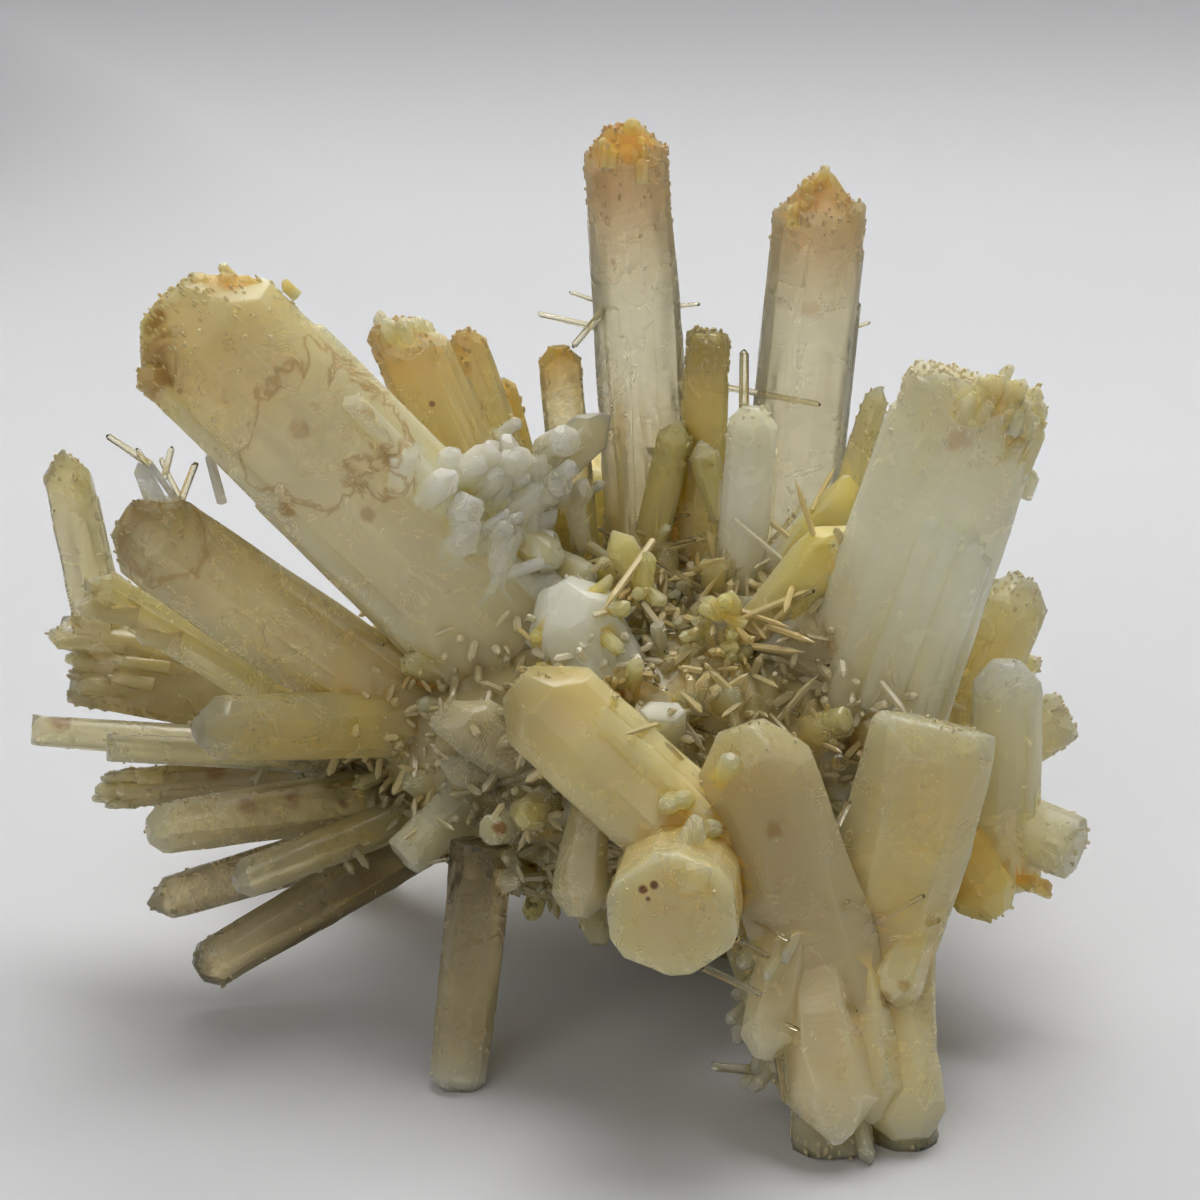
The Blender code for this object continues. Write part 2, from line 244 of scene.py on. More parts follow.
# one row a crystal: root place, heading (0 is +X, -90 the front), rise, length, width, thickness
# as a share of the width, turn on its own length, root width as a share, and its end
crystals = {
    "broadLeft": ((-1, 0, 27), -176, 48, 54, 17.5, 0.5, 0, 1, "round"),
    "secondLeft": ((-12, -2, 24), -174, 39, 38, 10.5, 0.7, 10, 1, "round"),
    "ledgeLeft": ((-13, 1, 18), -174, 35, 40, 5, 0.8, 0, 1, "point"),
    "farLeft": ((-45.5, 7, 30), 180, 82, 20, 5.4, 0.7, 0, 1.1, "point"),
    "smallLeft": ((-36, 6, 29), 180, 15, 14, 3.8, 0.9, 20, 1, "blunt"),
    "oliveLeft": ((-14, 6, 23), 180, 11, 35, 10, 0.6, 0, 1, "chisel"),
    "pegLeft": ((-18, 3.5, 21), -177, 6, 34, 3.7, 1, 0, 1, "blunt"),
    "pegInner": ((-13, 2, 21), -169, 8, 32, 3.3, 1, 0, 1, "blunt"),
    "stoutLeft": ((-16, -2, 27), -142, 14, 24, 7, 0.95, 0, 1, "round"),
    # the orange steps on the side of the broad left one
    "stepTop": ((-25.5, 1.5, 52), -176, 48, 18.5, 3.6, 1, 0, 1, "blunt"),
    "stepMiddle": ((-27, 1, 49), -176, 48, 17.5, 4.6, 1, 0, 1, "blunt"),
    "stepLow": ((-26, 0.5, 46.5), -176, 48, 15.5, 4.2, 1, 0, 1, "round"),
    # the fan that points down to the left
    "fanBack": ((-10, 4, 20), 180, -4, 36, 4.8, 0.8, 0, 1, "chisel"),
    "fanTop": ((-10, 1, 20), -160, 0, 32, 5.8, 0.8, 0, 0.7, "round"),
    "fanMiddle": ((-9, -1, 21), -149, -8, 27, 4.3, 0.9, 0, 0.8, "round"),
    "fanLow": ((-12, 3, 16), -171, -14, 31, 5, 0.9, 0, 0.8, "point"),
    "fanFront": ((-10, 1, 18), -163, -26, 31, 5.7, 0.85, 0, 0.8, "round"),
    # the post that hangs down at the front
    "post": ((-10.3, -16, 22), -118, -78, 24, 6.4, 0.75, 0, 0.85, "point"),
    "postRoot": ((-8, -8, 26), -145, -30, 13, 5, 0.9, 0, 1.2, "blunt"),
    "postKnob": ((-5, -11, 21), -123, 20, 9, 3.2, 0.9, 0, 1, "blunt"),
    # the middle of the front
    "frontBroad": ((10, -22, 23), 156, 36, 23, 11.5, 0.6, 0, 1, "round"),
    "frontBlock": ((5, -8, 25), 154, 58, 19, 9.7, 0.7, 0, 1.1, "round"),
    "frontSmall": ((5, -12, 26), -84, 66, 9, 5, 0.8, 0, 1.1, "blunt"),
    "frontHex": ((8, -10, 19), -95, 12, 25, 12.8, 0.95, 6, 1, "flat"),
    "frontSlab": ((20.5, -26.4, 10), 141, 66, 27, 12, 0.6, 0, 0.8, "round"),
    "frontRight": ((23.6, -22.4, 12.6), 47, 71, 22.5, 13.4, 0.6, 0, 0.7, "blunt"),
    "centrePost": ((11, -6, 23), 104, 83, 17, 4.2, 0.8, 0, 1, "point"),
    # the right side
    "broadRight": ((22.5, -3, 25), 6, 73, 36, 15.5, 0.6, 0, 0.88, "blunt"),
    "rightBehind": ((31, 2, 19), 22, 67, 21, 7.5, 0.7, 0, 1, "round"),
    "rightClear": ((36, -9, 14), 95, 82, 21, 7.6, 0.75, 0, 1, "round"),
    "rightPeg": ((30, 1, 18), 6, 32, 15, 6.2, 0.8, 0, 1, "blunt"),
    "rightDisc": ((24, 1, 22), -33, -9, 22, 7, 0.9, 0, 1, "blunt"),
    "rightLow": ((24, -5, 29), -38, -48, 21, 7, 0.8, 0, 1, "round"),
    # the foot at the front
    "footRight": ((26, -17, 20), -90, -61, 25, 6.9, 0.9, 0, 1.1, "blunt"),
    "footLeft": ((19, -19, 19), -86, -59, 23, 8.4, 0.8, 0, 1.2, "blunt"),
    "footSide": ((12, -19, 16), -62, -50, 16, 4.6, 0.9, 0, 1.4, "point"),
    # the tall ones and the row between them
    "tallLeft": ((5.5, 12, 30), 185, 86, 48.5, 9.6, 0.85, 0, 1, "round"),
    "tallRight": ((16.5, 12, 30), 37, 84, 44, 10.2, 0.8, 0, 1.05, "point"),
    "rowOlive": ((9, 8, 34), 75, 85, 26, 5, 0.8, 0, 1, "blunt"),
    "rowLeaning": ((3, 6, 34), 17, 77, 19, 3.9, 0.8, 0, 1, "point"),
    "rowPale": ((12, 2, 32), 54, 83, 23, 5.4, 0.8, 0, 1, "round"),
    "rowRight": ((18, 3, 31), 34, 71, 26, 3.2, 0.8, 0, 1.4, "point"),
    # the row behind the broad left one
    "behindBroad": ((-8, 6, 38), 168, 67, 26, 8.2, 0.8, 0, 1, "leanLeft"),
    "behindSecond": ((-6, 8, 40), 160, 71, 21, 4.8, 0.8, 0, 1, "round"),
    "behindThin": ((-4, 9, 36), 157, 75, 20, 2.6, 0.9, 0, 1, "point"),
    "behindClear": ((-2, 8, 40), 150, 84, 19, 4.8, 0.8, 0, 1, "round"),
    "leaf": ((-8, 0, 47), 20, 38, 12, 5, 0.4, 0, 1, "point"),
    # under the core
    "base": ((12, 6, 20), 60, -80, 24, 15, 0.9, 10, 1.1, "blunt"),
    "baseLeft": ((4, 6, 18), 190, -66, 13, 7.5, 0.8, 20, 1.2, "round"),
    "baseRight": ((20, 6, 18), -10, -62, 12, 7, 0.8, 0, 1.2, "round"),
    "baseBack": ((10, 14, 18), 100, -62, 13, 6.5, 0.8, 0, 1.2, "point"),
    # the back
    "heelLeft": ((-12, 12, 18), 142, -44, 27, 6, 0.85, 0, 1.2, "point"),
    "heelBack": ((12, 16, 18), 70, -46, 26, 7, 0.85, 0, 1.2, "point"),
    "backLong": ((2, 14, 26), 98, 22, 30, 9.5, 0.65, 8, 1, "round"),
    "backLeft": ((-10, 12, 26), 134, 18, 31, 8.4, 0.7, 15, 1, "point"),
    "backLeftLow": ((-10, 10, 20), 152, -10, 30, 6, 0.85, 0, 0.9, "round"),
    "backRight": ((17, 12, 24), 52, 24, 29, 9, 0.7, -12, 1, "point"),
    "backRightLow": ((18, 10, 20), 34, 4, 26, 7, 0.8, 0, 1, "blunt"),
    "backTop": ((8, 14, 32), 84, 47, 21, 7, 0.75, 0, 1, "round"),
    "backTopLeft": ((-6, 13, 32), 118, 42, 24, 6.4, 0.8, 20, 1, "point"),
    "backTopRight": ((20, 10, 32), 48, 46, 20, 5.6, 0.8, 0, 1, "blunt"),
    "backLow": ((6, 16, 20), 92, -8, 26, 7.4, 0.8, 30, 1, "round"),
    "backSide": ((24, 6, 24), 14, 12, 18, 6.4, 0.85, 0, 1, "point"),
}

# colour at the root, middle and tip; how clear it is there; how much sugary crust its tip has;
# how rusty it is; and how many thinner crystals grow along it
looks = {
    "broadLeft": ("milk milk straw", (0.15, 0.2, 0.3), 0.5, 0.6, 9),
    "stepTop": ("cream straw amber", (0.3, 0.4, 0.4), 0.2, 0.6, 1),
    "stepMiddle": ("cream straw amber", (0.3, 0.4, 0.4), 0.2, 0.6, 1),
    "stepLow": ("cream straw amber", (0.3, 0.4, 0.4), 0.2, 0.6, 0),
    "secondLeft": ("smoke cream olive", (0.2, 0.3, 0.4), 0.3, 0.3, 4),
    "ledgeLeft": ("smoke cream cream", (0.3, 0.35, 0.4), 0.6, 0.2, 4),
    "farLeft": ("milk milk straw", (0.4, 0.6, 0.45), 1, 0.2, 4),
    "smallLeft": ("smoke ice ice", (0.5, 0.8, 0.8), 0.1, 0, 0),
    "oliveLeft": ("umber olive smoke", (0.3, 0.4, 0.4), 0.7, 0.2, 7),
    "pegLeft": ("smoke milk milk", (0.4, 0.6, 0.65), 0.1, 0.9, 0),
    "pegInner": ("smoke milk milk", (0.4, 0.6, 0.6), 0.1, 0.3, 0),
    "stoutLeft": ("cream straw milk", (0.3, 0.5, 0.7), 0.1, 0.1, 2),
    # the fan lies in shadow under the broad crystals: its dark brown roots are painted shade
    "fanBack": ("umber umber olive", (0.4, 0.4, 0.4), 1, 0.7, 3),
    "fanTop": ("umber olive milk", (0.4, 0.5, 0.5), 0.1, 1, 1),
    "fanMiddle": ("umber olive milk", (0.4, 0.5, 0.6), 0.1, 0.4, 0),
    "fanLow": ("umber umber smoke", (0.5, 0.55, 0.7), 0.2, 0.8, 1),
    "fanFront": ("umber umber smoke", (0.5, 0.6, 0.85), 0.1, 0.3, 1),
    "post": ("umber smoke ice", (0.9, 0.75, 0.15), 0.1, 0.1, 1),
    "postRoot": ("olive milk milk", (0.5, 0.5, 0.5), 0, 0, 0),
    "postKnob": ("milk milk cream", (0.4, 0.4, 0.4), 0, 1, 0),
    "frontBroad": ("cream cream olive", (0.2, 0.25, 0.3), 0.1, 0.2, 1),
    "frontBlock": ("milk ice ice", (0.05, 0.05, 0.05), 0.1, 0, 1),
    "frontSmall": ("milk milk milk", (0.4, 0.4, 0.5), 0, 0, 0),
    "frontHex": ("straw straw cream", (0.25, 0.3, 0.3), 0.1, 0.5, 0),
    "frontSlab": ("smoke smoke cream", (0.25, 0.35, 0.45), 0.1, 0.2, 0),
    "frontRight": ("straw cream milk", (0.25, 0.35, 0.45), 0.1, 0.2, 0),
    "centrePost": ("smoke smoke smoke", (0.5, 0.5, 0.5), 0, 0, 0),
    "broadRight": ("milk ice milk", (0.05, 0.08, 0.12), 1, 0.3, 9),
    "rightBehind": ("cream cream milk", (0.3, 0.35, 0.4), 0.8, 0.2, 3),
    "rightClear": ("cream milk ice", (0.25, 0.3, 0.45), 0.1, 0, 2),
    "rightPeg": ("cream cream milk", (0.4, 0.4, 0.4), 0.6, 0.2, 1),
    "rightDisc": ("milk milk milk", (0.4, 0.4, 0.5), 0.1, 0.2, 0),
    "rightLow": ("straw amber straw", (0.3, 0.3, 0.3), 0.2, 0.3, 1),
    "footRight": ("olive cream cream", (0.3, 0.35, 0.4), 0.3, 0.3, 3),
    "footLeft": ("olive cream cream", (0.3, 0.35, 0.4), 0.5, 0.4, 3),
    "footSide": ("olive smoke cream", (0.3, 0.4, 0.4), 0.5, 0.3, 2),
    "tallLeft": ("cream ice mango", (0.3, 0.8, 0.3), 0.7, 0.6, 4),
    "tallRight": ("ice ice mango", (0.8, 0.8, 0.3), 0.6, 0.5, 4),
    "rowOlive": ("straw straw olive", (0.3, 0.25, 0.25), 0.9, 0.5, 1),
    "rowLeaning": ("amber straw straw", (0.4, 0.4, 0.4), 0.3, 0.1, 1),
    "rowPale": ("straw ice milk", (0.1, 0.02, 0.05), 0.2, 0.1, 0),
    "rowRight": ("straw cream cream", (0.4, 0.5, 0.5), 0.8, 0.1, 2),
    "behindBroad": ("straw cream mango", (0.4, 0.5, 0.35), 0.9, 0.4, 4),
    "behindSecond": ("straw cream mango", (0.4, 0.6, 0.4), 0.6, 0.2, 2),
    "behindThin": ("straw straw mango", (0.4, 0.5, 0.5), 0.3, 0, 0),
    "behindClear": ("straw milk mango", (0.4, 0.8, 0.5), 0.4, 0.2, 0),
    "leaf": ("cream milk cream", (0.4, 0.5, 0.6), 0, 0, 0),
    "base": ("olive olive amber", (0.2, 0.2, 0.2), 0.3, 0.4, 2),
    "backLong": ("milk cream straw", (0.2, 0.3, 0.35), 0.4, 0.4, 4),
    "backLeft": ("cream straw mango", (0.3, 0.35, 0.35), 0.6, 0.4, 3),
    "backRight": ("cream cream straw", (0.3, 0.3, 0.4), 0.5, 0.3, 3),
    "backTop": ("cream milk mango", (0.4, 0.5, 0.3), 0.6, 0.3, 3),
}
needleLook = ("cream milk ice", (0.85, 0.9, 0.95), 0, 0, 0)
plainLook = ("olive straw cream", (0.3, 0.3, 0.35), 0.4, 0.3, 2)
# looks for the small crystals; their dark brown roots are painted shade between the crystals
smallLooks = [
    ("amber amber straw", (0.2, 0.25, 0.3), 0.1, 0.1, 0),
    ("umber amber straw", (0.2, 0.25, 0.3), 0.1, 0.3, 0),
    ("amber straw cream", (0.2, 0.3, 0.3), 0, 0.1, 0),
    ("umber olive straw", (0.3, 0.3, 0.35), 0.1, 0.3, 0),
]


def crystalFrame(heading, rise, turn):
    around, up = math.radians(heading), math.radians(rise)
    level = math.cos(up)
    along = Vector((level * math.cos(around), level * math.sin(around), math.sin(up)))
    right = along.cross(frontWay)
    if right.length < 0.3:
        right = Vector((1, 0, 0))
        right -= along * right.dot(along)
    right.normalize()
    turned = Matrix((right, along.cross(right), along)).transposed()
    return turned @ Matrix.Rotation(math.radians(turn), 3, "Z")


def cutAway(bm, point, normal):
    everything = bm.verts[:] + bm.edges[:] + bm.faces[:]
    made = bmesh.ops.bisect_plane(bm, geom=everything, plane_co=point, plane_no=normal, clear_outer=True)
    edges = [e for e in made["geom_cut"] if isinstance(e, bmesh.types.BMEdge)]
    if edges:
        bmesh.ops.contextual_create(bm, geom=edges)


# how a crystal is worn: shares of its width, and the spacing of the cuts that carry its unevenness
wear = {
    "uneven": 0.035, "rounding": 0.05, "faceShare": 0.866, "steepest": 1.1,
    "ring": 0.16, "ringLow": 1.8, "ringHigh": 2.6, "strips": 3, "snap": 0.03,
    "plainBelow": 4.7, "plainRing": 6, "rodRing": 4, "sharpAngle": 33,
    "broadWaves": 1.4, "broadDepth": 0.03, "lineDepth": 0.06, "stepWaves": 0.55, "stepDepth": 0.14,
}
seeds = {"looks": 5, "crowds": 17, "needles": 31}


def sixSided(length, width, thick, root, end, draw):
    bm = bmesh.new()
    upright = Matrix.Translation((0, 0, length / 2)) @ Matrix.Rotation(math.radians(30), 4, "Z")
    bmesh.ops.create_cone(bm, cap_ends=True, segments=6, radius1=width / 2 * root, radius2=width / 2,
                          depth=length, matrix=upright)
    setbacks, broken = ends[end]
    peak = length + broken * width
    for k, setback in enumerate(setbacks):
        around = math.radians(30 + 60 * k)
        lean = math.radians(endSlope + draw.uniform(-3, 3))
        level = math.sin(lean)
        normal = Vector((level * math.cos(around), level * math.sin(around), math.cos(lean)))
        away = setback + draw.uniform(-0.6, 0.3) * wear["uneven"]
        cutAway(bm, Vector((0, 0, peak + away * width)), normal)
    for k in range(6):      # each side face a little further in, and a little steeper
        around = math.radians(60 * k)
        tilt = math.radians(draw.uniform(0, wear["steepest"]))
        out = Vector((math.cos(around), math.sin(around), 0))
        inset = width / 2 * wear["faceShare"] * (1 - draw.uniform(0, wear["uneven"] * 1.6))
        normal = out * math.cos(tilt) + Vector((0, 0, math.sin(tilt)))
        cutAway(bm, out * inset + Vector((0, 0, length * 0.6)), normal)
    bmesh.ops.scale(bm, vec=(1, thick, 1), verts=bm.verts)
    bmesh.ops.remove_doubles(bm, verts=bm.verts, dist=width * 0.01)
    bmesh.ops.recalc_face_normals(bm, faces=bm.faces)
    return bm


# the same shape with rounded edges: a hull around small arcs at its corners
def softened(bm, radius):
    bm.normal_update()
    points = []
    for v in bm.verts:
        normals = [f.normal for f in v.link_faces]
        inward = Vector(np.linalg.lstsq(np.array(normals), np.full(len(normals), -radius), rcond=None)[0])
        inward *= min(1, 2.5 * radius / max(inward.length, 1e-9))
        ways = normals + [sum((f.normal for f in e.link_faces), Vector()) for e in v.link_edges]
        ways.append(sum(normals, Vector()))
        points += [v.co + inward + way.normalized() * radius for way in ways]
    bm.free()
    soft = bmesh.new()
    for point in points:
        soft.verts.new(point)
    bmesh.ops.remove_doubles(soft, verts=soft.verts, dist=radius * 0.05)
    bmesh.ops.convex_hull(soft, input=soft.verts)
    loose = [v for v in soft.verts if not v.link_faces]
    bmesh.ops.delete(soft, geom=loose, context="VERTS")
    bmesh.ops.dissolve_limit(soft, angle_limit=math.radians(1.2), verts=soft.verts, edges=soft.edges)
    return soft


def sliceUp(bm, planes):
    for point, normal in planes:
        everything = bm.verts[:] + bm.edges[:] + bm.faces[:]
        bmesh.ops.bisect_plane(bm, geom=everything, dist=wear["snap"], plane_co=point, plane_no=normal)


def slicePlanes(length, width, thick, ring, strips):
    count = max(2, round(length / ring))
    planes = [((0, 0, length * k / count), (0, 0, 1)) for k in range(1, count)]
    for k in range(1, strips):
        planes.append(((width * (k / strips - 0.5), 0, 0), (1, 0, 0)))
    flat = round(strips * thick * 0.7)
    for k in range(1, flat):
        planes.append(((0, width * thick * (k / flat - 0.5), 0), (0, 1, 0)))
    return planes


def weather(bm, length, width, crust, offset):
    bm.normal_update()
    moves = []
    for v in bm.verts:
        p = v.co
        broad = noise.noise(p * (wear["broadWaves"] / width) + offset) * wear["broadDepth"] * width
        lines = noise.noise(Vector((p.x * 0.25, p.y * 0.25, p.z * 1.3)) + offset) * wear["lineDepth"]
        tip = min(1, max(0, (p.z - (length - width * 1.2)) / width))
        level = noise.noise(p * wear["stepWaves"] + offset * 1.7) * 3
        step = (level - math.floor(level)) * wear["stepDepth"] * (0.3 + crust * tip * 2)
        moves.append(v.normal * (-abs(broad) - abs(lines) - step))
    for v, move in zip(bm.verts, moves):
        v.co += move


def stamp(bm, name, look, length, shift, offset, place):
    colours = [Vector(palette[c]) for c in look[0].split()]
    clearness, crust, rust = look[1], look[2], look[3]
    layers = bm.verts.layers
    tint = layers.float_color.new("tint")
    grain, axis = [layers.float_vector.new(layer) for layer in ("grain", "axis")]
    clear, crusted, rusty, known = [layers.float.new(layer) for layer in ("clear", "crust", "rust", "known")]
    alongAxis = place.to_3x3() @ Vector((0, 0, 1))
    for v in bm.verts:
        p = v.co + shift
        share = min(1, max(0, p.z / length))
        first = min(1, share / 0.5)
        second = min(1, max(0, (share - 0.66) / 0.34)) ** 1.3
        colour = colours[0].lerp(colours[1], first).lerp(colours[2], second)
        v[tint] = (*colour, 1)
        value = clearness[0] + (clearness[1] - clearness[0]) * first
        v[clear] = value + (clearness[2] - value) * second
        v[crusted] = crust * min(1, max(0, (share - 0.76) / 0.2)) ** 2.5
        v[rusty] = rust * (0.25 + 0.75 * share)
        v[grain] = p + offset
        v[axis] = alongAxis
        v[known] = 1
    bmesh.ops.transform(bm, matrix=Matrix.Scale(mm, 4) @ place, verts=bm.verts)
    mesh = bpy.data.meshes.new(name)
    bm.to_mesh(mesh)
    bm.free()
    return mesh


def crystalMeshes(name, row, look, draw):
    seat, heading, rise, length, width, thick, turn, root, end = row
    place = Matrix.Translation(Vector(seat) + clusterShift) @ crystalFrame(heading, rise, turn).to_4x4()
    offset = Vector([draw.uniform(-90, 90) for k in range(3)])
    ring = min(wear["ringHigh"], max(wear["ringLow"], width * wear["ring"]))
    small = width < wear["plainBelow"]
    body = sixSided(length, width, thick, root, end, draw)
    if not small:
        body = softened(body, width * wear["rounding"])
    strips = 1 if small else wear["strips"]
    sliceUp(body, slicePlanes(length, width, thick, wear["plainRing"] if small else ring, strips))
    weather(body, length, width, look[2], offset)
    made = [stamp(body, name, look, length, Vector(), offset, place)]
    for k in range(look[4]):      # thinner ones grown along it, which make its stepped edges
        around = draw.uniform(0, 2 * math.pi)
        thin = width * draw.uniform(0.13, 0.3)
        reach = width / 2 * 0.9 - thin * 0.42
        side = Vector((math.cos(around) * reach, math.sin(around) * reach * thick, length * 0.15))
        tall = length * draw.uniform(0.5, 0.83) - thin * 0.4
        end = draw.choice(["point", "leanLeft", "leanRight", "round"])
        rod = sixSided(tall, thin, 0.9, 1, end, draw)
        sliceUp(rod, slicePlanes(tall, thin, 0.9, wear["rodRing"], 1))
        weather(rod, tall, thin, 0.2, offset * 1.3)
        made.append(stamp(rod, f"{name}.{k}", look, length, side, offset, place @ Matrix.Translation(side)))
    return made


def stubRows():
    draw = random.Random(stubs["seed"])
    golden = math.pi * (3 - math.sqrt(5))
    rows = {}
    for k in range(stubs["count"]):
        height = 1 - (2 * k + 1) / stubs["count"]
        level = math.sqrt(1 - height * height)
        out = Vector((level * math.cos(golden * k), level * math.sin(golden * k), height))
        surface = Vector([c / 2 * d for c, d in zip(core["size"], out)])
        width = draw.uniform(*stubs["width"])
        stubRise = draw.uniform(*stubs["rise"])
        heading = math.degrees(math.atan2(out.y, out.x))
        rise = math.degrees(math.asin(height)) + draw.uniform(-18, 18)
        seat = core["centre"] + surface * 0.7
        length = surface.length * 0.3 + stubRise
        end = draw.choice(["point", "round", "leanLeft", "leanRight"])
        thick = draw.uniform(0.75, 1)
        rows[f"stub{k}"] = (seat, heading, rise, length, width, thick, 60 * draw.random(), 1.2, end)
    return rows


def fillerRows():
    draw = random.Random(fillers["seed"])
    rows = {}
    for k in range(fillers["count"]):
        out = Vector([draw.gauss(0, 1) for axis in range(3)]).normalized()
        surface = Vector([c / 2 * d for c, d in zip(core["size"], out)])
        lean = out + Vector([draw.uniform(-0.35, 0.35) for axis in range(3)])
        heading, rise = headingRise(lean)
        seat = core["centre"] + surface * 0.75
        length = surface.length * 0.25 + draw.uniform(*fillers["rise"])
        length += max(0, out.z) * draw.uniform(0, fillers["topRise"])
        end = draw.choice(["point", "round", "leanLeft", "leanRight", "blunt"])
        width = draw.uniform(*fillers["width"])
        rows[f"filler{k}"] = (seat, heading, rise, length, width, 0.9, 60 * draw.random(), 1, end)
    return rows


# crowds of short crystals, each put where a ray through the photograph meets the CAD model: the
# middle and spread in pixels, how many, widths and lengths (mm), the way they point together, how
# far that beats the surface's own way (0 to 1), how much they differ, and their look
up = Vector((0, 0, 1))
front = Vector((0, -1, 0))
left = Vector((-1, 0, 0))
right = Vector((1, 0, 0))
footWay = Vector((-0.5, -0.4, -0.75))
footInsideWay = Vector((-0.05, -0.6, -0.78))
rimWay = up * 0.95 + right * 0.3
crowds = {
    "white pile": (500, 500, 36, 36, 34, (1.3, 4.2), (4.5, 8), up + right * 0.6, 0.6, 0.6, "ice"),
    "pit wall": (690, 620, 62, 50, 56, (1.0, 2.2), (3, 6), up * 0.5 + front * 0.5, 0.3, 1.0, "amber"),
    "dark underside": (560, 885, 36, 26, 22, (1.4, 3.2), (3, 5), front + up * -0.6, 0.4, 0.7, "dark"),
    "between fronts": (690, 800, 26, 30, 8, (1.8, 3.6), (4, 7), front + up * 0.4, 0.5, 0.6, "straw"),
    "foot side": (765, 1010, 14, 50, 22, (1.2, 2.4), (4, 6), footWay, 0.8, 0.3, "milk"),
    "foot inside": (840, 1075, 28, 22, 18, (1.2, 2.4), (5, 7), footInsideWay, 0.9, 0.25, "milk"),
    "left druse": (156, 482, 26, 8, 40, (0.8, 1.8), (4, 7), up + left * 0.5 + front * -0.6, 0.8, 0.5, "ice"),
    "left steps": (110, 660, 26, 26, 14, (1.4, 3), (3, 6), left + up * 0.2, 0.95, 0.1, "dark"),
    "left steps low": (115, 790, 16, 16, 9, (1, 2), (2, 4), left, 0.95, 0.1, "dark"),
    "right rim": (1022, 392, 24, 18, 26, (0.9, 2.2), (2.2, 3.4), rimWay, 0.97, 0.04, "crusty"),
    "right steps": (1040, 500, 5, 26, 12, (1, 2.2), (2.5, 5), rimWay, 0.97, 0.04, "crusty"),
    "row tips": (400, 322, 26, 8, 14, (1, 1.9), (2, 3.2), up + left * 0.4, 0.95, 0.06, "crusty"),
    "tall left tip": (620, 150, 24, 14, 12, (0.9, 2.2), (1.6, 2.4), up, 0.97, 0.04, "orange"),
    "tall right tip": (795, 192, 18, 12, 10, (0.9, 2), (1.6, 2.4), up, 0.97, 0.04, "orange"),
    "broad left nub": (232, 278, 22, 6, 8, (0.9, 1.8), (1.6, 2.4), up + left, 0.95, 0.06, "orange"),
    "behind right": (1045, 590, 10, 12, 8, (1.2, 2.4), (2.5, 4), up + right * 0.3, 0.95, 0.06, "crusty"),
    "right low": (1042, 884, 8, 6, 5, (1, 2), (2.5, 4), right + up * -0.4, 0.8, 0.3, "orange"),
}
crowdLooks = {
    "ice": ("milk ice ice", (0.05, 0.12, 0.25), 0, 0, 0),
    "milk": ("straw cream milk", (0.15, 0.3, 0.4), 0, 0.2, 0),
    "amber": ("amber straw straw", (0.05, 0.1, 0.2), 0, 0.1, 0),
    "straw": ("straw straw cream", (0.2, 0.3, 0.4), 0, 0.2, 0),
    # painted shade: olive for the crystals that lie in shadow under and beside the cluster, over the stone's
    # own olive
    "dark": ("olive olive smoke", (0.3, 0.3, 0.3), 0.1, 0.3, 0),
    "smoke": ("smoke smoke milk", (0.15, 0.2, 0.2), 0, 0.2, 0),
    "crusty": ("cream cream straw", (0.15, 0.2, 0.2), 0.2, 0.5, 0),
    "orange": ("straw mango mango", (0.2, 0.2, 0.2), 0.2, 0.8, 0),
}


# more crystals read off the photograph one by one: the pixels of root and tip, the width (mm), how
# much nearer the tip is than the root (mm), thickness as a share of the width, look and end
placed = {
    "clear rod": (552, 508, 606, 482, 1.3, 1, 0.9, "ice", "point"),
    "lump upper": (500, 530, 562, 562, 3.9, 2, 0.8, "milk", "round"),
    "lump lower": (536, 550, 594, 584, 3.6, 2, 0.8, "milk", "round"),
    "pile broad": (500, 620, 428, 552, 6.0, 2, 0.6, "milk", "point"),
    "pile smooth": (470, 560, 452, 458, 6.4, 0, 0.6, "milk", "leanRight"),
    "pile a": (484, 512, 488, 440, 2.2, 0, 0.9, "ice", "point"),
    "pile b": (505, 512, 511, 434, 2.5, 0, 0.9, "ice", "leanLeft"),
    "pile c": (524, 520, 546, 452, 2.2, 1, 0.9, "ice", "point"),
    "amber round": (592, 572, 596, 470, 3.2, 0, 0.8, "amber", "round"),
    "amber low": (650, 600, 612, 530, 3.4, 1, 0.8, "amber", "point"),
    "behind needles": (690, 590, 672, 500, 5.0, 0, 0.7, "amber", "leanRight"),
    "blade upper": (762, 575, 860, 486, 4.4, 1, 0.5, "amber", "leanLeft"),
    "blade lower": (742, 640, 852, 526, 6.0, 1, 0.5, "amber", "leanRight"),
    "behind blades": (800, 560, 806, 452, 4.6, 0, 0.7, "straw", "round"),
    "row filler": (722, 520, 700, 440, 3.4, 0, 0.8, "straw", "point"),
    "pale flank": (856, 680, 762, 616, 7.5, 0, 0.5, "smoke", "leanLeft"),
    "under the broad": (560, 800, 446, 700, 6.4, 1, 0.6, "dark", "leanLeft"),
    "under the pair": (560, 820, 440, 760, 4.6, 1, 0.8, "dark", "point"),
    "shaded": (590, 800, 576, 918, 5.6, 1, 0.8, "dark", "round"),
    "cream block": (918, 925, 884, 1002, 6.4, 2, 0.8, "milk", "round"),
    "foot column": (886, 960, 912, 1140, 8.2, 4, 0.8, "milk", "round"),
    "foot mass": (806, 910, 838, 1146, 9.6, 4, 0.8, "smoke", "point"),
    "foot shoulder": (800, 880, 764, 1060, 6.0, 1, 0.7, "smoke", "round"),
    "foot middle": (852, 940, 872, 1126, 7.4, 2, 0.8, "milk", "point"),
}


